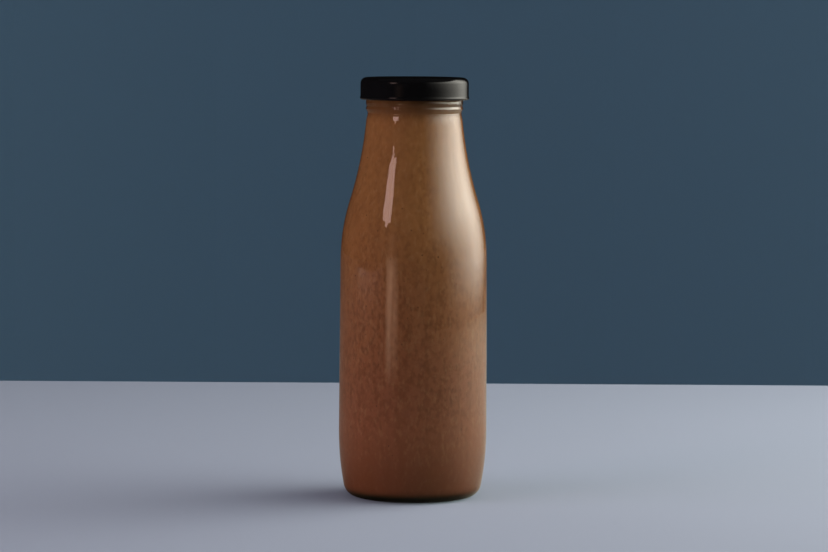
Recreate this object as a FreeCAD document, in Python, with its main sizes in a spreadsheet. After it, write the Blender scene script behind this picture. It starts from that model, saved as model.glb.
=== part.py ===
import FreeCAD, Part
import math
import os
import Sketcher

# A glass milk bottle with a black twist-off lid, filled with chocolate milkshake.
# Millimetres. The origin is the centre of the base, on the table, and +Z is up.
# Every piece is turned about the Z axis. Only the thread leads on the neck and the
# lugs of the lid that hook under them come four times round it.

os.makedirs("parts", exist_ok=True)
doc = FreeCAD.newDocument("milkshake_bottle")

# ---------------------------------------------------------------- driving dimensions
SIZES = [
    # the glass, from the table up
    ("glass_height", 175.6, "table to the rim"),
    ("body_diameter", 62.5, "widest, just above the heel"),
    ("body_taper", 0.4, "the body's radius loses this up to the shoulder"),
    ("glass_wall", 3.0, "glass of the body and the shoulder"),
    ("heel_inset", 8.05, "body's radius less the outer radius of the ring it stands on"),
    ("heel_corner", 6.0, "radius of the corner above the standing ring"),
    ("heel_side", 125.0, "radius of the long curve from that corner to the body"),
    ("ring_width", 1.7, "flat of the standing ring"),
    ("push_up", 3.0, "hollow under the base"),
    ("base_glass", 3.0, "glass over the hollow under the base"),
    ("floor_corner", 4.5, "radius between the floor and the wall inside"),
    ("floor_inset", 6.6, "inner wall's radius less the radius where that corner starts"),
    ("floor_fall", 3.6, "middle of the floor down to where that corner starts"),
    ("shoulder_height", 59.7, "top of the body to the groove in the neck"),
    ("shoulder_round", 84.0, "radius of the shoulder's lower, outward curve"),
    ("shoulder_hollow", 168.0, "radius of the shoulder's upper, inward curve"),
    # the neck finish, from the rim down
    ("finish_diameter", 39.0, "outside of the threaded neck"),
    ("finish_wall", 2.1, "glass of the threaded neck"),
    ("rim_round", 0.75, "rounding of both edges of the rim"),
    ("bead_step", 0.5, "foot of the beads outside the threaded neck"),
    ("bead_bulge", 0.45, "how far both beads swell"),
    ("upper_bead", 3.45, "height of the bead under the lid"),
    ("lower_bead", 1.75, "height of the thin bead below it"),
    ("groove_height", 3.2, "height of the groove under the beads"),
    ("groove_radius", 3.4, "radius of the groove's section"),
    ("neck_step", 0.7, "top of the shoulder outside the threaded neck"),
    ("neck_round", 2.0, "rounding of the shoulder's top edge"),
    # the four thread leads
    ("lead_count", 4, "thread leads, and lugs in the lid"),
    ("lead_depth", 1.3, "how far a lead stands out of the neck"),
    ("lead_root", 2.2, "height of a lead at its root"),
    ("lead_crest", 1.0, "height of a lead at its crest"),
    ("lead_gap", 0.45, "top of a lug up to the middle of a lead's low end"),
    ("lead_pitch", 10.0, "rise of a lead in a whole turn"),
    ("lead_turn", 0.16, "share of a turn that a lead runs"),
    # the lid
    ("lid_height", 9.3, "top of the lid to its lower edge"),
    ("lid_wall", 0.6, "sheet of the lid"),
    ("lid_shoulder", 2.5, "outer radius of the lid's top corner"),
    ("thread_clearance", 0.6, "gap from the leads' crests to the curl"),
    ("curl_diameter", 1.6, "rolled edge at the foot of the skirt"),
    ("curl_step", 0.25, "how far the curl stands out of the skirt"),
    ("panel_inset", 4.6, "skirt to the edge of the lid's sunk panel"),
    ("panel_slope", 0.8, "width of the slope down to the panel"),
    ("panel_sunk", 0.35, "how deep the panel is sunk"),
    ("seal_height", 0.45, "sealing land between the lid and the rim"),
    ("seal_overlap", 1.2, "how far the land runs past the rim into the neck"),
    ("lug_rise", 0.75, "lower edge of the lid up to a lug"),
    ("lug_clearance", 0.15, "gap between a lug and the upper bead"),
    ("lug_height", 1.2, "height of a lug"),
    ("lug_turn", 22.0, "degrees that a lug spans"),
    ("lug_reach", 0.6, "gap from the threaded neck to a lug"),
    ("lid_turn", 30.0, "degrees the lid is screwed past the leads' low ends"),
    # the drink
    ("fill_gap", 6.0, "rim down to the level of the drink"),
]

sheet = doc.addObject("Spreadsheet::Sheet", "sizes")
for row, (alias, value, meaning) in enumerate(SIZES, start=1):
    sheet.set(f"A{row}", alias)
    sheet.set(f"B{row}", str(value))
    sheet.setAlias(f"B{row}", alias)
    sheet.set(f"C{row}", meaning)
doc.recompute()

# ---------------------------------------------------------------- sizes worked out
# Radii
BODY = "(sizes.body_diameter / 2)"
BODY_TOP = f"({BODY} - sizes.body_taper)"
RING = f"({BODY} - sizes.heel_inset)"
FINISH = "(sizes.finish_diameter / 2)"
BORE = f"({FINISH} - sizes.finish_wall)"
BEAD = f"({FINISH} + sizes.bead_step)"
NECK = f"({FINISH} + sizes.neck_step)"
CREST = f"({FINISH} + sizes.lead_depth)"
CURL_INSIDE = f"({CREST} + sizes.thread_clearance)"
LID = f"({CURL_INSIDE} + sizes.curl_diameter)"
SKIRT = f"({LID} - sizes.curl_step)"
PANEL = f"({SKIRT} - sizes.panel_inset)"
# Heights. The lid seats on the rim, and its lugs settle where the leads and beads are.
RIM = "sizes.glass_height"
UNDER_PANEL = f"({RIM} + sizes.seal_height)"
LID_TOP = f"({UNDER_PANEL} + sizes.lid_wall + sizes.panel_sunk)"
LID_FOOT = f"({LID_TOP} - sizes.lid_height)"
LUG_FOOT = f"({LID_FOOT} + sizes.lug_rise)"
LUG_TOP = f"({LUG_FOOT} + sizes.lug_height)"
LEAD = f"({LUG_TOP} + sizes.lead_gap)"
BEAD_TOP = f"({LUG_FOOT} - sizes.lug_clearance)"
BEAD_NOTCH = f"({BEAD_TOP} - sizes.upper_bead)"
BEAD_FOOT = f"({BEAD_NOTCH} - sizes.lower_bead)"
NECK_TOP = f"({BEAD_FOOT} - sizes.groove_height)"
SHOULDER = f"({NECK_TOP} - sizes.shoulder_height)"
FLOOR = "(sizes.push_up + sizes.base_glass)"
LEVEL = f"({RIM} - sizes.fill_gap)"

# A sketch's own axes and the points of a line or an arc, as constraints name them
LEVEL_AXIS, TURNING_AXIS = -1, -2
START, END, CENTRE = 1, 2, 3
SAME_PLACE = 0.01


def origin_part(body, role):
    """The origin plane or axis of a body that has this role."""
    return next(part for part in body.Origin.OriginFeatures if part.Role == role)


class Outline:
    """A closed outline in a body's XZ plane, drawn piece by piece and tied to the sheet.

    A place is a pair of expressions: the distance from the Z axis and the height.
    A turn swings the outline's plane about the Z axis, in degrees.
    """

    def __init__(self, body, name, place, turn=None):
        self.sketch = body.newObject("Sketcher::SketchObject", name)
        self.sketch.AttachmentSupport = [(origin_part(body, "XZ_Plane"), "")]
        self.sketch.MapMode = "FlatFace"
        if turn is not None:
            about_upright = FreeCAD.Rotation(FreeCAD.Vector(0, 1, 0), self.value(turn))
            self.sketch.AttachmentOffset = FreeCAD.Placement(FreeCAD.Vector(), about_upright)
            self.sketch.setExpression("AttachmentOffset.Rotation.Angle", turn)
        self.start = place
        self.pen = self.point(place)
        self.tip = self.first = None

    def value(self, size):
        return float(self.sketch.evalExpression(size))

    def point(self, place):
        return FreeCAD.Vector(self.value(place[0]), self.value(place[1]), 0)

    def constrain(self, *terms, size=None):
        index = self.sketch.addConstraint(Sketcher.Constraint(*terms))
        if size is not None:
            self.sketch.setExpression(f"Constraints[{index}]", size)

    def tie(self, piece, end, place):
        """Hold a point of a piece at its place. A size of None leaves that way free."""
        rules = zip(place, ("DistanceX", "DistanceY"), (TURNING_AXIS, LEVEL_AXIS))
        for size, rule, axis in rules:
            if size is None:
                continue
            if self.value(size) == 0:
                self.constrain("PointOnObject", piece, end, axis)
            else:
                self.constrain(rule, LEVEL_AXIS, START, piece, end, self.value(size), size=size)

    def add(self, piece, clockwise, joint):
        """Draw a line or an arc, joined to the piece before it."""
        index = self.sketch.addGeometry(piece, False)
        tail, head = (END, START) if clockwise else (START, END)
        if self.tip is None:
            self.first = (index, tail)
            self.tie(index, tail, self.start)
        else:
            self.constrain(joint, *self.tip, index, tail)
        self.tip = (index, head)
        return index

    def line_to(self, target, joint="Coincident"):
        index = self.add(Part.LineSegment(self.pen, target), False, joint)
        self.pen = target
        return index

    def arc_to(self, target, centre, clockwise=False, joint="Coincident"):
        circle = Part.Circle(centre, FreeCAD.Vector(0, 0, 1), (self.pen - centre).Length)
        here, there = (math.atan2(p.y - centre.y, p.x - centre.x) for p in (self.pen, target))
        ends = (there, here) if clockwise else (here, there)
        index = self.add(Part.ArcOfCircle(circle, *ends), clockwise, joint)
        self.pen = target
        return index

    def line(self, *place):
        """A straight line to a place."""
        self.tie(self.line_to(self.point(place)), END, place)

    def arc(self, *place, radius, clockwise=False):
        """The shorter arc of this radius to a place."""
        target = self.point(place)
        half = (target - self.pen) / 2
        reach = math.sqrt(self.value(radius) ** 2 - half.Length ** 2) / half.Length
        left = FreeCAD.Vector(-half.y, half.x, 0) * reach
        centre = self.pen + half + (left * -1 if clockwise else left)
        index = self.arc_to(target, centre, clockwise)
        self.tie(index, self.tip[1], place)
        self.constrain("Radius", index, self.value(radius), size=radius)

    def dome(self, *place):
        """An arc that starts level on the Z axis and falls to a place."""
        target = self.point(place)
        fall = self.pen.y - target.y
        radius = (target.x ** 2 + fall ** 2) / (2 * fall)
        index = self.arc_to(target, FreeCAD.Vector(0, self.pen.y - radius, 0), clockwise=True)
        self.tie(index, self.tip[1], place)
        self.constrain("PointOnObject", index, CENTRE, TURNING_AXIS)

    def heel(self, *place, foot, corner, side):
        """A corner and a long curve up into a straight wall, all tangent, to a place."""
        corner_radius, side_radius = self.value(corner), self.value(side)
        out = self.value(foot)
        corner_centre = self.pen + FreeCAD.Vector(0, corner_radius, 0)
        across = out - side_radius - corner_centre.x
        rise = math.sqrt((side_radius - corner_radius) ** 2 - across ** 2)
        side_centre = corner_centre + FreeCAD.Vector(across, rise, 0)
        outward = (corner_centre - side_centre).normalize()
        first = self.arc_to(corner_centre + outward * corner_radius, corner_centre, joint="Tangent")
        wall_start = side_centre + FreeCAD.Vector(side_radius, 0, 0)
        second = self.arc_to(wall_start, side_centre, joint="Tangent")
        wall = self.line_to(self.point(place), joint="Tangent")
        self.constrain("Radius", first, corner_radius, size=corner)
        self.constrain("Radius", second, side_radius, size=side)
        self.tie(wall, START, (foot, None))
        self.tie(wall, END, place)

    def shoulder(self, *place, outward, inward):
        """Two tangent arcs, the first swelling outward and the second hollow, to a place."""
        low_radius, high_radius = self.value(outward), self.value(inward)
        low_centre = self.pen - FreeCAD.Vector(low_radius, 0, 0)
        target = self.point(place)
        reach = target - low_centre
        apart = low_radius + high_radius
        lean = (reach.Length ** 2 + apart ** 2 - high_radius ** 2) / (2 * reach.Length * apart)
        angle = math.atan2(reach.y, reach.x) - math.acos(lean)
        way = FreeCAD.Vector(math.cos(angle), math.sin(angle), 0)
        low = self.arc_to(low_centre + way * low_radius, low_centre, joint="Tangent")
        high = self.arc_to(target, low_centre + way * apart, clockwise=True, joint="Tangent")
        self.constrain("Radius", low, low_radius, size=outward)
        self.constrain("Radius", high, high_radius, size=inward)
        self.tie(high, START, place)

    def curl(self, centre, radius, arrive, leave):
        """Straight down at one distance, clockwise round a circle, and off it at another."""
        middle, size = self.point(centre), self.value(radius)

        def on_circle(distance):
            out = self.value(distance)
            return FreeCAD.Vector(out, middle.y + math.sqrt(size ** 2 - (out - middle.x) ** 2), 0)

        self.tie(self.line_to(on_circle(arrive)), END, (arrive, None))
        index = self.arc_to(on_circle(leave), middle, clockwise=True)
        self.tie(index, CENTRE, centre)
        self.tie(index, self.tip[1], (leave, None))
        self.constrain("Radius", index, size, size=radius)

    def close(self):
        """Back to the start. The sketch has to end with nothing loose."""
        start = self.point(self.start)
        index = self.sketch.addGeometry(Part.LineSegment(self.pen, start), False)
        self.constrain("Coincident", *self.tip, index, START)
        self.constrain("Coincident", index, END, *self.first)
        doc.recompute()
        if not self.sketch.FullyConstrained:
            raise RuntimeError(f"{self.sketch.Label} has a loose point")
        return self.sketch


# ---------------------------------------------------------------- outlines
def glass_outline(body):
    """The bottle from outside: base, heel, body, shoulder, groove, two beads and finish."""
    outline = Outline(body, "glass_outline", ("0", "sizes.push_up"))
    outline.dome(f"{RING} - sizes.ring_width", "0")
    outline.line(RING, "0")
    outline.heel(BODY_TOP, SHOULDER, foot=BODY, corner="sizes.heel_corner", side="sizes.heel_side")
    outline.shoulder(NECK, NECK_TOP, outward="sizes.shoulder_round", inward="sizes.shoulder_hollow")
    outline.arc(BEAD, BEAD_FOOT, radius="sizes.groove_radius", clockwise=True)
    outline.arc(BEAD, BEAD_NOTCH, radius=bulge_radius("sizes.lower_bead"))
    outline.arc(BEAD, BEAD_TOP, radius=bulge_radius("sizes.upper_bead"))
    outline.line(FINISH, BEAD_TOP)
    outline.line(FINISH, RIM)
    outline.line("0", RIM)
    return outline.close()


def bulge_radius(height):
    """The radius of an arc this high that swells by bead_bulge."""
    return f"(({height} / 2) ^ 2 + sizes.bead_bulge ^ 2) / (2 * sizes.bead_bulge)"


def cavity_outline(body, name, top):
    """The inside of the glass, from its domed floor up to a height in the neck."""
    inside = f"({BODY} - sizes.glass_wall)"
    outline = Outline(body, name, ("0", FLOOR))
    outline.dome(f"{inside} - sizes.floor_inset", f"{FLOOR} - sizes.floor_fall")
    outline.heel(f"{BODY_TOP} - sizes.glass_wall", SHOULDER, foot=inside,
                 corner="sizes.floor_corner", side="sizes.heel_side - sizes.glass_wall")
    outline.shoulder(BORE, NECK_TOP, outward="sizes.shoulder_round - sizes.glass_wall",
                     inward="sizes.shoulder_hollow + sizes.glass_wall")
    outline.line(BORE, top)
    outline.line("0", top)
    return outline.close()


def lead_outline(body):
    """A thread lead's section, which starts inside the glass."""
    root = f"{FINISH} - sizes.finish_wall / 4"
    outline = Outline(body, "lead_outline", (root, f"{LEAD} - sizes.lead_root / 2"))
    outline.line(CREST, f"{LEAD} - sizes.lead_crest / 2")
    outline.line(CREST, f"{LEAD} + sizes.lead_crest / 2")
    outline.line(root, f"{LEAD} + sizes.lead_root / 2")
    return outline.close()


def lid_outline(body):
    """The lid: sunk panel, rounded corner, skirt, curl, and the land that seals on the rim."""
    corner = f"{SKIRT} - sizes.lid_shoulder"
    corner_foot = f"{LID_TOP} - sizes.lid_shoulder"
    curl_radius = "sizes.curl_diameter / 2"
    land = f"{BORE} - sizes.seal_overlap"
    outline = Outline(body, "lid_outline", ("0", f"{LID_TOP} - sizes.panel_sunk"))
    outline.line(PANEL, f"{LID_TOP} - sizes.panel_sunk")
    outline.line(f"{PANEL} + sizes.panel_slope", LID_TOP)
    outline.line(corner, LID_TOP)
    outline.arc(SKIRT, corner_foot, radius="sizes.lid_shoulder", clockwise=True)
    outline.curl((f"{LID} - {curl_radius}", f"{LID_FOOT} + {curl_radius}"), radius=curl_radius,
                 arrive=SKIRT, leave=f"{SKIRT} - sizes.lid_wall")
    outline.line(f"{SKIRT} - sizes.lid_wall", corner_foot)
    outline.arc(corner, f"{LID_TOP} - sizes.lid_wall", radius="sizes.lid_shoulder - sizes.lid_wall")
    outline.line(corner, RIM)
    outline.line(land, RIM)
    outline.line(land, UNDER_PANEL)
    outline.line("0", UNDER_PANEL)
    return outline.close()


def lug_outline(body):
    """A lug's section, from inside the skirt's sheet to just short of the threaded neck."""
    inside = f"{FINISH} + sizes.lug_reach"
    outside = f"{SKIRT} - sizes.lid_wall / 2"
    outline = Outline(body, "lug_outline", (inside, LUG_FOOT), turn="sizes.lid_turn")
    outline.line(outside, LUG_FOOT)
    outline.line(outside, LUG_TOP)
    outline.line(inside, LUG_TOP)
    return outline.close()


# ---------------------------------------------------------------- features
def turned(body, kind, name, sketch, angle=None):
    """A Revolution or Groove of a sketch about the Z axis, all round or centred on an angle."""
    feature = body.newObject(f"PartDesign::{kind}", name)
    feature.Profile = sketch
    feature.ReferenceAxis = (origin_part(body, "Z_Axis"), [""])
    feature.Angle = 360
    if angle is not None:
        feature.setExpression("Angle", angle)
        feature.Midplane = True
    doc.recompute()
    return feature


def all_round(body, name, original, count):
    """Copies of a feature, evenly spaced about the Z axis."""
    pattern = body.newObject("PartDesign::PolarPattern", name)
    pattern.Originals = [original]
    pattern.Axis = (origin_part(body, "Z_Axis"), [""])
    pattern.Angle = 360
    pattern.setExpression("Occurrences", count)
    body.Tip = pattern
    doc.recompute()
    return pattern


def rounded(body, name, places, radius):
    """A fillet on the circles of the body's tip that lie at these places."""
    tip = body.Tip
    wanted = [tuple(float(sheet.evalExpression(size.replace("sizes.", ""))) for size in place)
              for place in places]

    def is_wanted(edge):
        if edge.Degenerated or not isinstance(edge.Curve, Part.Circle):
            return False
        at = (edge.Curve.Radius, edge.Curve.Center.z)
        return any(math.dist(at, place) < SAME_PLACE for place in wanted)

    edges = [f"Edge{i}" for i, edge in enumerate(tip.Shape.Edges, start=1) if is_wanted(edge)]
    if len(edges) != len(places):
        raise RuntimeError(f"{name} found {len(edges)} edges, not {len(places)}")
    fillet = body.newObject("PartDesign::Fillet", name)
    fillet.Base = (tip, edges)
    fillet.setExpression("Radius", radius)
    doc.recompute()
    return fillet


def volume(body):
    return body.Shape.Volume


def changed(body, before, more):
    """A feature that adds has to make its body larger, and one that cuts smaller."""
    if (volume(body) - before) * (1 if more else -1) <= 0:
        raise RuntimeError(f"{body.Tip.Label} changed nothing")


# ---------------------------------------------------------------- the three pieces
def make_bottle():
    """The glass: turned outline, thread leads, then the cavity and the rounded rim."""
    body = doc.addObject("PartDesign::Body", "bottle")
    turned(body, "Revolution", "glass", glass_outline(body))
    rounded(body, "neck_edge", [(NECK, NECK_TOP)], "sizes.neck_round")

    before = volume(body)
    lead = body.newObject("PartDesign::AdditiveHelix", "lead")
    lead.Profile = lead_outline(body)
    lead.ReferenceAxis = (origin_part(body, "Z_Axis"), [""])
    lead.Mode = "pitch-turns-angle"
    lead.setExpression("Pitch", "sizes.lead_pitch")
    lead.setExpression("Turns", "sizes.lead_turn")
    doc.recompute()
    all_round(body, "leads", lead, "sizes.lead_count")
    changed(body, before, more=True)

    before = volume(body)
    mouth = f"({RIM} + sizes.rim_round)"
    turned(body, "Groove", "cavity", cavity_outline(body, "cavity_outline", mouth))
    changed(body, before, more=False)
    rounded(body, "rim_edges", [(FINISH, RIM), (BORE, RIM)], "sizes.rim_round")
    return body


def make_milkshake():
    """The drink, which fills the glass up to a level inside the threaded neck."""
    body = doc.addObject("PartDesign::Body", "milkshake")
    turned(body, "Revolution", "drink", cavity_outline(body, "drink_outline", LEVEL))
    return body


def make_cap():
    """The lid, screwed on until each lug sits under a thread lead."""
    body = doc.addObject("PartDesign::Body", "cap")
    turned(body, "Revolution", "lid", lid_outline(body))
    before = volume(body)
    lug = turned(body, "Revolution", "lug", lug_outline(body), angle="sizes.lug_turn")
    all_round(body, "lugs", lug, "sizes.lead_count")
    changed(body, before, more=True)
    return body


bodies = [make_bottle(), make_milkshake(), make_cap()]
doc.recompute()

failed = [item.Label for item in doc.Objects if {"Invalid", "Error"} & set(item.State)]
if failed:
    raise RuntimeError(f"failed: {failed}")
for body in bodies:
    if body.Shape.isNull() or not body.Shape.isValid():
        raise RuntimeError(f"{body.Label} isn't a sound solid")
for body in bodies:
    body.Shape.exportStep(f"parts/{body.Label}.step")
    print(body.Label, f"{volume(body) / 1000:.2f} ml, {len(body.Shape.Solids)} solid")
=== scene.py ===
"""A chocolate milkshake in a clear glass bottle with a black twist-off lid.

Lengths in an outline are in millimetres, and everything else is in metres. The bottle stands
on z = 0 and its axis is Z, as in the CAD model.
"""
import cmath
import math

import bmesh
import bpy
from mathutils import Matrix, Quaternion, Vector


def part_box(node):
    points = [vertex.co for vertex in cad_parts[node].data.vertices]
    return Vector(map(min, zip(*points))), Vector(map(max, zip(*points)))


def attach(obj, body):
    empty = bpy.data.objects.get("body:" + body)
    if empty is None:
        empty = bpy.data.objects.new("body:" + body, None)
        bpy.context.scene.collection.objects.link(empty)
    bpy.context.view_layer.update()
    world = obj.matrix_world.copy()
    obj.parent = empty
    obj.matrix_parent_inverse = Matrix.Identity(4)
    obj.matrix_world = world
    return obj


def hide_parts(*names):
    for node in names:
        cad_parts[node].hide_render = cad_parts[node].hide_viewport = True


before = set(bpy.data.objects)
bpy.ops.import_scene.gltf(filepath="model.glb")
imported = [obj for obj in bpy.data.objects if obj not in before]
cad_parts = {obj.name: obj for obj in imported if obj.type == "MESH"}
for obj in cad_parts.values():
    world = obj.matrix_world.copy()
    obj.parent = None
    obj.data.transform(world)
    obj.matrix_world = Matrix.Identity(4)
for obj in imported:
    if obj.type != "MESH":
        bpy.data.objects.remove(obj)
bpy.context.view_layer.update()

MM = 1000                   # millimetres in a metre
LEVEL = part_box("milkshake")[1].z * MM
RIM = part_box("bottle")[1].z * MM
LID_FOOT, LID_TOP = (corner.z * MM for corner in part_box("cap"))

FACETS = 144                # flats round each turned piece
CREASE = math.radians(40)   # an edge that bends more than this is sharp
SAME_PLACE = 1e-6           # corners nearer than this are one corner, in metres
STEP = 0.1                  # between the points of a dense outline
ROUNDING = 1e-6             # a step this much over the whole number isn't one more step
SPREAD = 2.5                # how many times its softness a softened corner reaches
KEPT_TURN = math.radians(4.5)   # a thinned outline turns this much or less at a point
KEPT_RUN = 2.5              # and has a point at least this often
MELTED_GLASS = 0.3          # how soft the corners of blown glass are
MELTED_NECK = 0.8           # and the corner between its shoulder and its groove
DRAWN_SHEET = 0.1           # how soft the corners of drawn tinplate are


# ---------------------------------------------------------------- node trees
class Value:
    """An output socket. Arithmetic on it adds Math nodes to its tree."""

    def __init__(self, tree, socket):
        self.tree, self.socket = tree, socket

    def also(self, name):
        """Another output of the same node."""
        return Value(self.tree, self.socket.node.outputs[name])

    def __add__(self, other):
        return self.tree.maths("ADD", self, other)

    def __sub__(self, other):
        return self.tree.maths("SUBTRACT", self, other)

    def __rsub__(self, other):
        return self.tree.maths("SUBTRACT", other, self)

    def __mul__(self, other):
        return self.tree.maths("MULTIPLY", self, other)

    def __truediv__(self, other):
        return self.tree.maths("DIVIDE", self, other)

    def __rtruediv__(self, other):
        return self.tree.maths("DIVIDE", other, self)

    __radd__, __rmul__ = __add__, __mul__


class Tree:
    """A node tree as it is filled, for a material or for a Geometry Nodes modifier."""

    def __init__(self, tree):
        self.tree = tree
        tree.nodes.clear()

    def node(self, kind, settings=None, inputs=None, out=0):
        """Adds a node: its settings first, then the values or links of its sockets."""
        node = self.tree.nodes.new(kind)
        for name, value in (settings or {}).items():
            setattr(node, name, value)
        for name, value in (inputs or {}).items():
            if isinstance(value, Value):
                self.tree.links.new(value.socket, node.inputs[name])
            else:
                node.inputs[name].default_value = value
        return Value(self, node.outputs[out]) if node.outputs else None

    def maths(self, operation, *terms):
        return self.node("ShaderNodeMath", {"operation": operation}, dict(enumerate(terms)))

    def vectors(self, operation, *terms, **named):
        return self.node("ShaderNodeVectorMath", {"operation": operation},
                         {**dict(enumerate(terms)), **named})

    def noise(self, place, scale, detail=2.0, roughness=0.5):
        return self.node("ShaderNodeTexNoise", {}, {
            "Vector": place, "Scale": scale, "Detail": detail, "Roughness": roughness})

    def between(self, value, low, high, at_low=0.0, at_high=1.0):
        """A smooth change from one number to another as a value goes from low to high."""
        return self.node("ShaderNodeMapRange", {"interpolation_type": "SMOOTHSTEP"}, {
            "Value": value, "From Min": low, "From Max": high,
            "To Min": at_low, "To Max": at_high})


class Finish(Tree):
    """A material being made."""

    def __init__(self, name):
        self.material = bpy.data.materials.new(name)
        self.material.use_nodes = True
        super().__init__(self.material.node_tree)
        self.place = self.node("ShaderNodeTexCoord", out="Object")

    def upright(self, squeeze):
        """The place on the piece with its height squeezed, which draws a pattern out upright."""
        return self.node("ShaderNodeMapping", {"vector_type": "POINT"},
                         {"Vector": self.place, "Scale": (1, 1, squeeze)})

    def height(self):
        return self.node("ShaderNodeSeparateXYZ", {}, {0: self.place}, out="Z")

    def azimuth(self):
        """The angle round the bottle in radians: 0 in front, and more towards +X."""
        across = self.node("ShaderNodeSeparateXYZ", {}, {0: self.place}, out="X")
        return self.maths("ARCTAN2", across, across.also("Y") * -1)

    def mix(self, amount, first, second):
        """A colour between two."""
        factor, start, end, result = 0, 6, 7, 2     # the Mix node's sockets for colours
        return self.node("ShaderNodeMix", {"data_type": "RGBA"},
                         {factor: amount, start: first, end: second}, out=result)

    def bump(self, rise, distance):
        return self.node("ShaderNodeBump", {}, {"Height": rise, "Distance": distance})

    def done(self, surface, **ends):
        """The material, once its surface and any volume are joined to its output."""
        self.node("ShaderNodeOutputMaterial", {}, {"Surface": surface, **ends})
        return self.material


class Grower(Tree):
    """A Geometry Nodes tree being made, with named inputs and one geometry in and out."""

    def __init__(self, name, inputs):
        self.group = bpy.data.node_groups.new(name, "GeometryNodeTree")
        super().__init__(self.group)
        add = self.group.interface.new_socket
        add("Geometry", in_out="OUTPUT", socket_type="NodeSocketGeometry")
        add("Geometry", in_out="INPUT", socket_type="NodeSocketGeometry")
        for label, kind in inputs.items():
            add(label, in_out="INPUT", socket_type=f"NodeSocket{kind}")
        self.geometry = self.node("NodeGroupInput", out="Geometry")

    def given(self, label):
        return self.geometry.also(label)

    def real(self, geometry):
        return self.node("GeometryNodeRealizeInstances", {}, {"Geometry": geometry})

    def finish(self, geometry, material):
        """Ends the tree with real geometry in its material."""
        dressed = self.node("GeometryNodeSetMaterial", {},
                            {"Geometry": self.real(geometry), "Material": material})
        self.node("NodeGroupOutput", {}, {"Geometry": dressed})
        return self.group

    def creased(self, geometry):
        """Shades a geometry smooth, except across edges that bend more than the crease."""
        smooth = self.node("GeometryNodeSetShadeSmooth", {"domain": "FACE"},
                           {0: geometry, "Shade Smooth": True})
        bend = self.node("GeometryNodeInputMeshEdgeAngle")
        gentle = self.node("FunctionNodeCompare", {"operation": "LESS_THAN"},
                           {0: bend, 1: self.given("Crease")})
        return self.node("GeometryNodeSetShadeSmooth", {"domain": "EDGE"},
                         {0: smooth, "Shade Smooth": gentle})


def face_outward(mesh):
    """Merges the corners of a closed mesh that share a place, and turns its faces outward."""
    shell = bmesh.new()
    shell.from_mesh(mesh)
    bmesh.ops.remove_doubles(shell, verts=shell.verts, dist=SAME_PLACE)
    bmesh.ops.recalc_face_normals(shell, faces=shell.faces)
    shell.to_mesh(mesh)
    shell.free()


def grow(name, mesh, group, sizes):
    """An object with what a Geometry Nodes tree makes of a mesh, as a plain mesh."""
    piece = bpy.data.objects.new(name, mesh)
    bpy.context.scene.collection.objects.link(piece)
    modifier = piece.modifiers.new("grow", "NODES")
    modifier.node_group = group
    for item in group.interface.items_tree:
        if item.in_out == "INPUT" and item.name in sizes:
            modifier[item.identifier] = sizes[item.name]
    evaluated = piece.evaluated_get(bpy.context.evaluated_depsgraph_get())
    made = bpy.data.meshes.new_from_object(evaluated)
    piece.modifiers.clear()
    made.name = name
    made.materials.clear()
    made.materials.append(sizes["Material"])
    made.polygons.foreach_set("material_index", [0] * len(made.polygons))
    piece.data = made
    face_outward(made)
    return piece


# ---------------------------------------------------------------- outlines
# A point is a complex number: the distance from the axis, then the height.
def carried_round(centre, start, turn, count):
    """The points after start as it turns about a centre."""
    return [centre + (start - centre) * cmath.exp(1j * turn * i / count)
            for i in range(1, count + 1)]


def arc(start, end, radius, clockwise=False):
    """The points after start on the shorter arc to end."""
    half = (end - start) / 2
    inward = 1j * half / abs(half) * math.sqrt(radius ** 2 - abs(half) ** 2)
    centre = start + half + (-inward if clockwise else inward)
    turn = cmath.phase((end - centre) / (start - centre))
    return carried_round(centre, start, turn, math.ceil(radius * abs(turn) / STEP))


def dome(top, edge):
    """From a point on the axis, level there, down to an edge."""
    fall = top.imag - edge.imag
    return [top] + arc(top, edge, (edge.real ** 2 + fall ** 2) / (2 * fall), clockwise=True)


def heel(before, start, foot, corner, side):
    """A corner that goes on smoothly from a run, then a long curve up into a wall at the foot."""
    corner_centre = start + 1j * corner * (start - before) / abs(start - before)
    across = foot - side - corner_centre.real
    side_centre = corner_centre + across + 1j * math.sqrt((side - corner) ** 2 - across ** 2)
    apart = corner_centre - side_centre
    meeting = corner_centre + corner * apart / abs(apart)
    return arc(start, meeting, corner) + arc(meeting, side_centre + side, side)


def shoulder(start, end, outward, inward):
    """Two arcs that meet smoothly: one that swells, then a hollow one."""
    low_centre = start - outward
    reach, apart = end - low_centre, outward + inward
    lean = (abs(reach) ** 2 + apart ** 2 - inward ** 2) / (2 * abs(reach) * apart)
    way = cmath.exp(1j * (cmath.phase(reach) - math.acos(lean)))
    meeting = low_centre + way * outward
    return arc(start, meeting, outward) + arc(meeting, end, inward, clockwise=True)


def swell(start, end, bulge):
    """An arc that swells outward by this much."""
    half = abs(end - start) / 2
    return arc(start, end, (half ** 2 + bulge ** 2) / (2 * bulge))


def dense(points):
    """The same outline with its points evenly close together."""
    close = [points[0]]
    for a, b in zip(points, points[1:]):
        count = max(1, math.ceil(abs(b - a) / STEP - ROUNDING))
        close += [a + (b - a) * i / count for i in range(1, count + 1)]
    return close


def melted(points, softness, softer_at=None, softer=0.0):
    """The outline with its corners softened over about this length, and one corner over more.

    Its ends stay put.
    """
    points, soft = dense(points), []
    for i, point in enumerate(points):
        near_it = softer_at is not None and abs(point - softer_at) < SPREAD * softer
        width = softer if near_it else softness
        reach = min(math.ceil(SPREAD * width / STEP), i, len(points) - 1 - i)
        weights = [math.exp(-0.5 * (k * STEP / width) ** 2) for k in range(-reach, reach + 1)]
        near = points[i - reach:i + reach + 1]
        soft.append(sum(w * p for w, p in zip(weights, near)) / sum(weights))
    return soft


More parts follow.
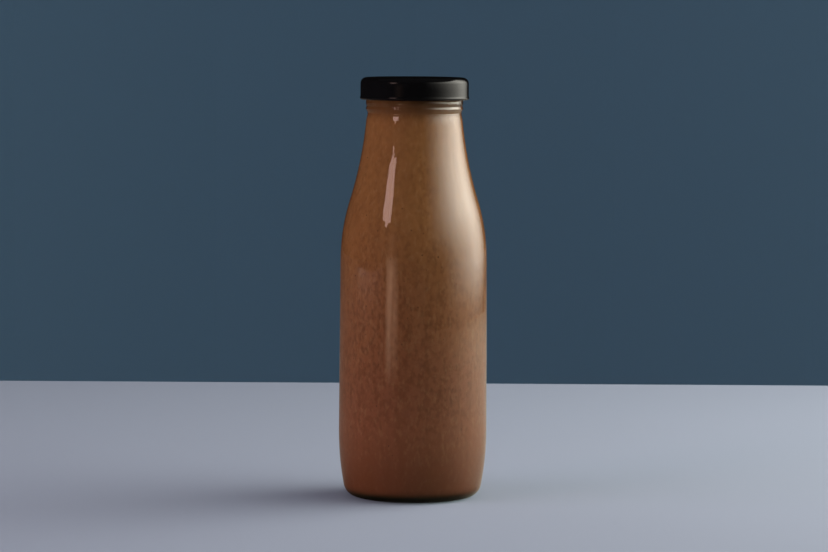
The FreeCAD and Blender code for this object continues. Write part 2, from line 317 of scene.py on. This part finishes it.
def thinned(points):
    """Only the points that the outline's curves need."""
    kept, way, gone = [points[0]], points[1] - points[0], 0.0
    for before, point, after in zip(points, points[1:], points[2:]):
        gone += abs(point - before)
        if gone > KEPT_RUN or abs(cmath.phase((after - point) / way)) > KEPT_TURN:
            kept.append(point)
            way, gone = after - point, 0.0
    return kept + [points[-1]]


def outline_mesh(name, points):
    """The outline as a mesh of points joined by edges."""
    mesh = bpy.data.meshes.new(name)
    mesh.from_pydata([(p.real / MM, 0, p.imag / MM) for p in points],
                     [(i, i + 1) for i in range(len(points) - 1)], [])
    return mesh


# ---------------------------------------------------------------- sizes
BASE_HOLLOW, BASE_RISE, BASE_RING = 21.5, 3.0, 23.2     # the push-up, and the ring it stands on
FLOOR_TOP, FLOOR_EDGE = 6.0j, 21.65 + 2.4j              # inside the bottle
BODY, BODY_TOP, SHOULDER = 31.25, 30.85, 100.2          # outside, at its foot and its shoulder
NECK_EDGE = 20.2 + 159.9j                               # where the shoulder meets the groove
GROOVE, BEAD, BEAD_BULGE = 3.4, 20.0, 0.45
FIRST_BEAD, SECOND_BEAD, BEADS_TOP = 163.1, 164.85, 168.3
FINISH, BORE, RIM_ROUND, WALL = 19.5, 17.4, 0.75, 3.0
INTO_WALL = 0.06        # how far the milkshake reaches into the glass, so that no air shows
LEADS = 4               # thread leads on the neck, and lugs in the lid
LEAD_ROOT, LEAD_CREST, LEAD_RISE, LEAD_END = 18.975, 20.8, 1.6, 57.6
LUG_TIP, LUG_ROOT, LUG_FOOT, LUG_TOP = 20.1, 22.45, 168.45j, 169.65j
LUG_START, LUG_END = 19, 41


def glass_outside():
    """Base, heel, body, shoulder, groove, two beads and the finish, up to the rim."""
    points = dome(BASE_RISE * 1j, BASE_HOLLOW + 0j) + [BASE_RING + 0j]
    points += heel(*points[-2:], BODY, corner=6.0, side=125)
    points.append(BODY_TOP + SHOULDER * 1j)
    points += shoulder(points[-1], NECK_EDGE, outward=84, inward=168)
    points += arc(points[-1], BEAD + FIRST_BEAD * 1j, GROOVE, clockwise=True)
    points += swell(points[-1], BEAD + SECOND_BEAD * 1j, BEAD_BULGE)
    points += swell(points[-1], BEAD + BEADS_TOP * 1j, BEAD_BULGE)
    points += [FINISH + BEADS_TOP * 1j, FINISH + (RIM - RIM_ROUND) * 1j]
    points += arc(points[-1], FINISH - RIM_ROUND + RIM * 1j, RIM_ROUND)
    return points


def glass_inside():
    """From the middle of the floor up to the rim."""
    points = dome(FLOOR_TOP, FLOOR_EDGE)
    points += heel(*points[-2:], BODY - WALL, corner=4.5, side=122)
    points.append(BODY_TOP - WALL + SHOULDER * 1j)
    points += shoulder(points[-1], BORE + NECK_EDGE.imag * 1j, outward=81, inward=171)
    points.append(BORE + (RIM - RIM_ROUND) * 1j)
    points += arc(points[-1], BORE + RIM_ROUND + RIM * 1j, RIM_ROUND, clockwise=True)
    return points


def drink_outline():
    """The inside of the glass, a little way into its wall, up to the level.

    The top climbs the glass a little at its edge.
    """
    wall = melted(glass_inside(), MELTED_GLASS)
    side = []
    for before, point, after in zip(wall, wall[1:], wall[2:]):
        way = after - before
        side.append(point - 1j * way / abs(way) * INTO_WALL)
    side = [p for p in side if p.imag < LEVEL - 0.3]
    floor = (wall[0].imag - INTO_WALL) * 1j
    climb = BORE + INTO_WALL + LEVEL * 1j
    return thinned([floor] + side) + [climb, climb - 0.35 - 0.25j, climb - 0.9 - 0.42j,
                                      (LEVEL - 0.45) * 1j]


def lid_outline():
    """The sunk panel, rounded corner, skirt and curl, then the inside back to the axis."""
    skirt, sheet, corner = 22.75, 0.6, 2.5
    panel, panel_rise, sunk = 18.15, 0.8, 0.35j
    land, land_top = BORE - 1.2, RIM + 0.45
    curl_round, curl_count = 0.8, 50
    curl = 22.2 + (LID_FOOT + curl_round) * 1j
    inner, top = skirt - sheet, LID_TOP * 1j

    def on_curl(distance):
        rise = math.sqrt(curl_round ** 2 - (distance - curl.real) ** 2)
        return distance + 1j * (curl.imag + rise)

    points = [top - sunk, panel + top - sunk, panel + panel_rise + top, skirt - corner + top]
    points += arc(points[-1], skirt + top - corner * 1j, corner, clockwise=True)
    first, last = on_curl(skirt), on_curl(inner)
    turn = cmath.phase((last - curl) / (first - curl)) - 2 * math.pi
    points += [first] + carried_round(curl, first, turn, curl_count)
    points.append(inner + top - corner * 1j)
    points += arc(points[-1], skirt - corner + top - sheet * 1j, corner - sheet)
    points += [skirt - corner + RIM * 1j, land + RIM * 1j, land + land_top * 1j, land_top * 1j]
    return points


def swept(name, section, first, last, rise=0.0):
    """One block: a section carried round the Z axis from one angle to another as it rises."""
    count, across, corners, faces = 16, len(section), [], []
    for i in range(count + 1):
        angle = math.radians(first + (last - first) * i / count)
        corners += [(p.real / MM * math.cos(angle), p.real / MM * math.sin(angle),
                     (p.imag + rise * i / count) / MM) for p in section]
    for i in range(count):
        for j in range(across):
            low, next_low = i * across + j, i * across + (j + 1) % across
            faces.append((low, next_low, next_low + across, low + across))
    faces += [tuple(reversed(range(across))),
              tuple(range(count * across, (count + 1) * across))]
    block = bpy.data.meshes.new(name)
    block.from_pydata(corners, [], faces)
    face_outward(block)
    return block


# ---------------------------------------------------------------- Geometry Nodes
def turning_tree():
    """Turns an outline's points about the Z axis, one ring of corners for each point."""
    grower = Grower("turn_outline", {
        "Facets": "Int", "Material": "Material", "Crease": "Float"})
    rows = grower.node("GeometryNodeAttributeDomainSize", {"component": "MESH"},
                       {"Geometry": grower.geometry}, out="Point Count")
    facets = grower.given("Facets")
    sheet = grower.node("GeometryNodeMeshGrid", {}, {
        "Vertices X": facets + 1, "Vertices Y": rows})
    number = grower.node("GeometryNodeInputIndex")
    column = grower.maths("FLOOR", (number + 0.5) / rows)
    point = grower.node(
        "GeometryNodeSampleIndex", {"data_type": "FLOAT_VECTOR", "domain": "POINT"}, {
            "Geometry": grower.geometry, "Value": grower.node("GeometryNodeInputPosition"),
            "Index": number - column * rows})
    out = grower.node("ShaderNodeSeparateXYZ", {}, {0: point}, out="X")
    angle = column * (2 * math.pi) / facets
    place = grower.node("ShaderNodeCombineXYZ", {}, {
        "X": out * grower.maths("COSINE", angle), "Y": out * grower.maths("SINE", angle),
        "Z": out.also("Z")})
    turned_sheet = grower.node("GeometryNodeSetPosition", {}, {
        "Geometry": sheet, "Position": place})
    closed = grower.node("GeometryNodeMergeByDistance", {}, {
        "Geometry": turned_sheet, "Distance": SAME_PLACE})
    return grower.finish(grower.creased(closed), grower.given("Material"))


def ring_tree():
    """Repeats a block round a piece and joins them into one solid."""
    grower = Grower("ring_of_blocks", {
        "Block": "Object", "Count": "Int", "Material": "Material", "Crease": "Float"})
    block = grower.node("GeometryNodeObjectInfo", {}, {"Object": grower.given("Block")},
                        out="Geometry")
    count = grower.given("Count")
    points = grower.node("GeometryNodePoints", {}, {"Count": count})
    angle = grower.node("GeometryNodeInputIndex") * (2 * math.pi) / count
    swing = grower.node("ShaderNodeCombineXYZ", {}, {"Z": angle})
    blocks = grower.node("GeometryNodeInstanceOnPoints", {}, {
        "Points": points, "Instance": block, "Rotation": swing}, out="Instances")
    union = grower.node("GeometryNodeMeshBoolean", {"operation": "UNION", "solver": "EXACT"},
                        {"Mesh 2": grower.geometry})
    both = union.socket.node.inputs["Mesh 2"]       # this socket takes more than one link
    grower.tree.links.new(grower.real(blocks).socket, both)
    return grower.finish(grower.creased(union), grower.given("Material"))


def speck_tree():
    """Scatters flat specks over a drink's side, more of them in the middle of its height."""
    flatness, crumble = 0.35, 0.0003
    grower = Grower("cocoa_specks", {
        "Density": "Float", "Smallest": "Float", "Largest": "Float", "Seed": "Int",
        "Material": "Material"})
    position = grower.node("GeometryNodeInputPosition")
    height = grower.node("ShaderNodeSeparateXYZ", {}, {0: position}, out="Z")
    share = (grower.between(height, 0.008, 0.05)
             * grower.between(height, 0.085, 0.12, 1.0, 0.3)
             * grower.between(height, 0.155, 0.16, 1.0, 0.0))
    points = grower.node(
        "GeometryNodeDistributePointsOnFaces", {"distribute_method": "RANDOM"}, {
            "Mesh": grower.geometry, "Density": grower.given("Density") * share,
            "Seed": grower.given("Seed")}, out="Points")
    flat = grower.node("FunctionNodeAlignRotationToVector", {"axis": "Z"},
                       {"Vector": points.also("Normal")})
    upright = grower.node("FunctionNodeAlignRotationToVector", {"axis": "Y", "pivot_axis": "Z"},
                          {"Rotation": flat, "Vector": (0, 0, 1)})

    def random(smallest, largest, seed):
        lowest, highest, drawn = 2, 3, 1        # the Random Value node's sockets for numbers
        return grower.node("FunctionNodeRandomValue", {"data_type": "FLOAT"},
                           {lowest: smallest, highest: largest, "Seed": seed}, out=drawn)

    size = random(grower.given("Smallest"), grower.given("Largest"), grower.given("Seed"))
    tall = random(0.9, 1.7, 11)
    shape = grower.node("ShaderNodeCombineXYZ", {}, {
        "X": size, "Y": size * tall, "Z": size * flatness})
    speck = grower.node("GeometryNodeMeshIcoSphere", {}, {"Radius": 1.0, "Subdivisions": 1})
    specks = grower.node("GeometryNodeInstanceOnPoints", {}, {
        "Points": points, "Instance": speck, "Rotation": upright, "Scale": shape},
        out="Instances")
    rough = grower.noise(position, 5000, detail=1)
    offset = grower.vectors("SUBTRACT", rough.also("Color"), (0.5, 0.5, 0.5))
    uneven = grower.node("GeometryNodeSetPosition", {}, {
        "Geometry": grower.real(specks),
        "Offset": grower.vectors("SCALE", offset, Scale=crumble)})
    return grower.finish(uneven, grower.given("Material"))


def turned(name, points, group, material):
    """A piece turned from its outline."""
    return grow(name, outline_mesh(name, points), group, {
        "Facets": FACETS, "Material": material, "Crease": CREASE})


def with_blocks(piece, block_mesh, group):
    """The piece with a block repeated round it and joined on."""
    block = bpy.data.objects.new(block_mesh.name, block_mesh)
    bpy.context.scene.collection.objects.link(block)
    name, mesh = piece.name, piece.data
    bpy.data.objects.remove(piece)
    whole = grow(name, mesh, group, {
        "Block": block, "Count": LEADS, "Material": mesh.materials[0], "Crease": CREASE})
    bpy.data.objects.remove(block)
    return whole


# ---------------------------------------------------------------- finishes
def clear_glass():
    """Blown glass: smooth, faintly rippled by its mould, and green where it is thick."""
    finish = Finish("clear_glass")
    ripple = finish.noise(finish.upright(0.45), 42, detail=1.5)
    glass = finish.node("ShaderNodeBsdfPrincipled", {}, {
        "Base Color": (0.93, 0.965, 0.94, 1), "Roughness": 0.0, "IOR": 1.5,
        "Transmission Weight": 1.0, "Normal": finish.bump(ripple, 0.00012)})
    clear = finish.node("ShaderNodeBsdfTransparent", {}, {"Color": (0.9, 0.94, 0.91, 1)})
    lamp = finish.node("ShaderNodeLightPath", out="Is Shadow Ray")
    surface = finish.node("ShaderNodeMixShader", {}, {0: lamp, 1: glass, 2: clear})
    depth = finish.node("ShaderNodeVolumeAbsorption", {}, {
        "Color": (0.1, 0.5, 0.25, 1), "Density": 30.0})
    return finish.done(surface, Volume=depth)


def chocolate_milkshake():
    """A thick drink seen through glass: cocoa drawn out in upright streaks, with soft specks."""
    lower, upper = (0.194, 0.064, 0.033, 1), (0.234, 0.094, 0.035, 1)
    speck, streak, froth = (0.1, 0.03, 0.011, 1), (0.12, 0.037, 0.013, 1), (0.36, 0.19, 0.1, 1)
    painted_lid_shadow, painted_base_shade = (0.06, 0.022, 0.008, 1), (0.09, 0.026, 0.01, 1)
    painted_underside_shade = (0.005, 0.011, 0.005, 1)
    finish = Finish("chocolate_milkshake")
    height = finish.height()

    cloud = finish.noise(finish.place, 30)
    # Paler towards the top and darker towards the bottom, with a cloudy edge.
    paler_higher_up = finish.between(height + (cloud - 0.5) * 0.05, 0.03, 0.14)
    body = finish.mix(paler_higher_up, lower, upper)

    band = finish.between(height, 0.01, 0.05) * finish.between(height, 0.08, 0.125, 1.0, 0.35)
    patches = finish.noise(finish.upright(0.6), 90, detail=1)
    patchy = finish.between(patches, 0.35, 0.65, 0.75, 1.0)
    mottle = finish.noise(finish.upright(0.7), 520, roughness=0.55)
    spots = finish.between(mottle, 0.35, 0.74) * patchy
    body = finish.mix(spots * (band * 0.45 + 0.12), body, speck)
    streaks = finish.noise(finish.upright(0.12), 300)
    body = finish.mix(finish.between(streaks, 0.4, 0.75) * 0.22, body, streak)
    pale = finish.noise(finish.upright(0.5), 700)
    body = finish.mix(finish.between(pale, 0.5, 0.75) * 0.16, body, froth)

    # Painted shade: darker up in the neck, where the lid's shadow falls.
    body = finish.mix(finish.between(height, 0.157, 0.165) * 0.75, body, painted_lid_shadow)
    # Painted shade, darker down by the base, where the heel faces the shadowed table.
    body = finish.mix(finish.between(height, 0.003, 0.034, 0.75, 0.0), body, painted_base_shade)
    # Painted shade on the unlit underside, near-black green.
    body = finish.mix(finish.between(height, 0.0024, 0.0048, 0.96, 0.0), body, painted_underside_shade)

    surface = finish.node("ShaderNodeBsdfPrincipled", {}, {
        "Base Color": body, "Roughness": 0.5, "Specular IOR Level": 0.1,
        "Subsurface Weight": 0.3, "Subsurface Radius": (1.0, 0.45, 0.25),
        "Subsurface Scale": 0.0012})
    return finish.done(surface)


def cocoa():
    """Wet grains of cocoa and chocolate."""
    dark, light = (0.05, 0.017, 0.007, 1), (0.1, 0.035, 0.014, 1)
    finish = Finish("cocoa")
    grain = finish.noise(finish.place, 700, detail=1)
    shade = finish.mix(finish.between(grain, 0.35, 0.65), dark, light)
    return finish.done(finish.node("ShaderNodeBsdfPrincipled", {}, {
        "Base Color": shade, "Roughness": 0.6, "Specular IOR Level": 0.1}))


def black_lacquer():
    """Stoved lacquer on tinplate: a faint orange peel, and a little dust and wear."""
    clean, dusty = (0.003, 0.003, 0.0033, 1), (0.03, 0.029, 0.028, 1)
    finish = Finish("black_lacquer")
    peel = finish.noise(finish.place, 900)
    wear = finish.noise(finish.place, 140, detail=5, roughness=0.65)
    dust = finish.between(finish.noise(finish.place, 2600), 0.66, 0.78)
    surface = finish.node("ShaderNodeBsdfPrincipled", {}, {
        "Base Color": finish.mix(dust * 0.35, clean, dusty),
        "Roughness": finish.between(wear, 0.3, 0.7, 0.1, 0.16) + dust * 0.1,
        "IOR": 1.5, "Specular IOR Level": 0.17, "Normal": finish.bump(peel, 0.00002)})
    return finish.done(surface)


# ---------------------------------------------------------------- the pieces
turn, ring = turning_tree(), ring_tree()
glass = melted(glass_outside() + list(reversed(glass_inside()))[1:], MELTED_GLASS,
               NECK_EDGE, MELTED_NECK)
bottle = turned("bottle_glass", thinned(glass), turn, clear_glass())
lead = swept("lead", [LEAD_ROOT + 169.0j, LEAD_CREST + 169.6j, LEAD_CREST + 170.6j,
                      LEAD_ROOT + 171.2j], 0, LEAD_END, LEAD_RISE)
bottle = with_blocks(bottle, lead, ring)
milkshake = turned("milkshake_fill", drink_outline(), turn, chocolate_milkshake())
lid = turned("lid", thinned(melted(lid_outline(), DRAWN_SHEET)), turn, black_lacquer())
lug = swept("lug", [LUG_TIP + LUG_FOOT, LUG_ROOT + LUG_FOOT, LUG_ROOT + LUG_TOP,
                    LUG_TIP + LUG_TOP], LUG_START, LUG_END)
lid = with_blocks(lid, lug, ring)
specks = grow("cocoa_specks", milkshake.data.copy(), speck_tree(), {
    "Density": 15000.0, "Smallest": 0.00012, "Largest": 0.00028, "Seed": 4,
    "Material": cocoa()})

for piece, slot in ((bottle, "clear_glass"), (milkshake, "milkshake"), (lid, "black_lacquer"),
                    (specks, "milkshake")):
    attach(piece, "root")
for piece, node in ((bottle, "bottle"), (milkshake, "milkshake"), (lid, "cap")):
    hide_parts(node)


# ---------------------------------------------------------------- the studio
# An azimuth is an angle round the bottle in degrees: 0 in front, and more towards +X.
TABLE_LEFT, TABLE_RIGHT, TABLE_FRONT, TABLE_BACK, TABLE_TOP = -0.5, 3, -3, 0.41, -5e-5
TABLE_REFLECTION_INNER, TABLE_REFLECTION_OUTER, TABLE_REFLECTION_TOP = 0.0255, 2.12, 0.0002
SLIT_DISTANCE = 0.96
# The slit's corners, by azimuth and height. It ends in a spike.
SLIT = [(-56.5, 0.73), (-40.5, 0.73), (-40.5, 0.5), (-39.5, 0.43), (-44.5, 0.425),
        (-46.5, 0.375), (-48.7, 0.375), (-48.5, 0.425), (-52, 0.43), (-55, 0.45), (-56.5, 0.55)]


def stage_piece(name, corners, faces, material):
    mesh = bpy.data.meshes.new(name)
    mesh.from_pydata(corners, [], faces)
    mesh.materials.append(material)
    piece = bpy.data.objects.new(name, mesh)
    bpy.context.scene.collection.objects.link(piece)
    return piece


def across_and_back(azimuth, distance):
    way = math.radians(azimuth)
    return distance * math.sin(way), -distance * math.cos(way)


def curved_panel(name, distance, first, last, low, high, count, material):
    """An upright panel that curves round the bottle from one azimuth to another."""
    feet = [across_and_back(first + (last - first) * i / count, distance)
            for i in range(count + 1)]
    corners = [(x, y, z) for z in (low, high) for x, y in feet]
    faces = [(i, i + 1, count + 2 + i, count + 1 + i) for i in range(count)]
    return stage_piece(name, corners, faces, material)


def plain(name, colour, roughness):
    finish = Finish(name)
    return finish.done(finish.node("ShaderNodeBsdfPrincipled", {}, {
        "Base Color": colour, "Roughness": roughness}))


def glowing(name, colour, strength):
    """The light of a panel. Its strength may change over it."""
    finish = Finish(name)
    return finish.done(finish.node("ShaderNodeEmission", {}, {
        "Color": colour, "Strength": strength(finish)}))


def from_to(finish, first, last, at_first=0.0, at_last=1.0):
    """A smooth change from one azimuth to another."""
    return finish.between(finish.azimuth(), math.radians(first), math.radians(last),
                          at_first, at_last)


def window_strength(finish):
    """Bright above, dimmer near the table, and fading at both ends of its curve."""
    up = finish.height()
    low = from_to(finish, 42, 112) * finish.between(up, 0.0, 0.05, 0.6, 4.0)
    high = from_to(finish, 18, 94) * finish.between(up, 0.03, 0.45, 0.0, 4.0)
    return from_to(finish, 108, 152, 1.0, 0.05) * (low + high)


def card_strength(finish):
    """Soft at both sides and at its foot and top, and uneven."""
    up = finish.height()
    sides = from_to(finish, -46, -36) * from_to(finish, -34, -20, 1.0, 0.0)
    ends = finish.between(up, -0.01, 0.03) * finish.between(up, 0.05, 0.12, 1.0, 0.15)
    return sides * ends * finish.between(finish.noise(finish.place, 22), 0.3, 0.6, 1.0, 2.3)


def table_cloth():
    """A ring over the table that paints its reflection: painted shade in front of the bottle,
    cream where the window lights it.
    """
    dark, cream, count = (0.06, 0.035, 0.03, 1), (0.4, 0.38, 0.33, 1), 48
    finish = Finish("cloth")
    lit = from_to(finish, 35, 110) + from_to(finish, -120, -50, 0.3, 0.0)
    cloth = finish.done(finish.node("ShaderNodeBsdfPrincipled", {}, {
        "Base Color": finish.mix(lit, dark, cream), "Roughness": 1.0}))
    ways = [2 * math.pi * i / count for i in range(count)]
    corners = [(r * math.cos(way), r * math.sin(way), TABLE_REFLECTION_TOP)
               for r in (TABLE_REFLECTION_INNER, TABLE_REFLECTION_OUTER) for way in ways]
    faces = [(i, i + count, (i + 1) % count + count, (i + 1) % count) for i in range(count)]
    return stage_piece("table_cloth", corners, faces, cloth)


stage_piece("table", [(TABLE_LEFT, TABLE_FRONT, TABLE_TOP), (TABLE_RIGHT, TABLE_FRONT, TABLE_TOP),
                      (TABLE_RIGHT, TABLE_BACK, TABLE_TOP), (TABLE_LEFT, TABLE_BACK, TABLE_TOP)],
            [(0, 1, 2, 3)], plain("pale_slate", (0.34, 0.39, 0.5, 1), 0.6))
curved_panel("wall", 2.2, 0, 360, -1.2, 2.4, 64, plain("blue_plaster", (0.14, 0.26, 0.37, 1), 0.9))

window = curved_panel("window", 0.87, 18, 148, 0.0, 0.9, 40,
                      glowing("window_light", (1.0, 0.975, 0.87, 1), window_strength))
slit = stage_piece("slit", [(*across_and_back(way, SLIT_DISTANCE), up) for way, up in SLIT],
                   [tuple(range(len(SLIT)))],
                   glowing("slit_light", (1.0, 0.66, 0.6, 1), lambda finish: 5.0))
card = curved_panel("card", 0.5, -46, -20, 0.0, 0.22, 8,
                    glowing("card_light", (1.0, 0.6, 0.4, 1), card_strength))
window.visible_camera = slit.visible_camera = card.visible_camera = False
card.visible_shadow = card.visible_diffuse = False

# Sheets that only the gloss sees: a dark one round the set that paints dark reflections, and one
# over the table that paints the table's reflection, lit and shaded.
velvet = plain("velvet", (0.004, 0.004, 0.004, 1), 1.0)
for cloth in (curved_panel("dark_cloth", 2.1, 0, 360, -0.1, 2.3, 48, velvet), table_cloth()):
    cloth.visible_camera = cloth.visible_diffuse = False
    cloth.visible_transmission = cloth.visible_shadow = False


def look_at(place, target):
    """The turn of a lamp or camera at a place that points it at a target."""
    return (Vector(target) - Vector(place)).to_track_quat("-Z", "Y")


def soft_lamp(name, place, size, energy, colour):
    """A soft lamp that looks at the bottle and doesn't show in its gloss."""
    data = bpy.data.lights.new(name, "AREA")
    data.shape, data.size, data.size_y = "RECTANGLE", *size
    data.energy, data.color = energy, colour
    lamp = bpy.data.objects.new(name, data)
    lamp.location = place
    lamp.rotation_euler = look_at(place, (0, 0, 0.08)).to_euler()
    lamp.visible_camera = lamp.visible_glossy = lamp.visible_transmission = False
    bpy.context.scene.collection.objects.link(lamp)


soft_lamp("fill", (-1.25, -0.4, 0.22), (1.0, 0.4), 15.0, (1.0, 0.85, 0.92))
soft_lamp("overhead", (0.1, -0.2, 1.6), (1.2, 1.2), 5.0, (1.0, 0.97, 0.95))

world = bpy.data.worlds.new("studio")
world.use_nodes = True
sky = world.node_tree.nodes["Background"].inputs
sky["Color"].default_value = (0.6, 0.65, 0.7, 1)
sky["Strength"].default_value = 0.05
bpy.context.scene.world = world
bpy.context.scene.view_settings.view_transform = "Standard"

camera_place, camera_target, camera_tilt = (0, -1.3947, 0.2105), (0.0002, 0, 0.0933), 0.34
camera_data = bpy.data.cameras.new("camera")
camera_data.lens, camera_data.sensor_width = 144.2, 36.0
camera = bpy.data.objects.new("camera", camera_data)
camera.location = camera_place
camera.rotation_mode = "QUATERNION"
camera.rotation_quaternion = (look_at(camera_place, camera_target)
                              @ Quaternion((0, 0, 1), math.radians(camera_tilt)))
bpy.context.scene.collection.objects.link(camera)
bpy.context.scene.camera = camera
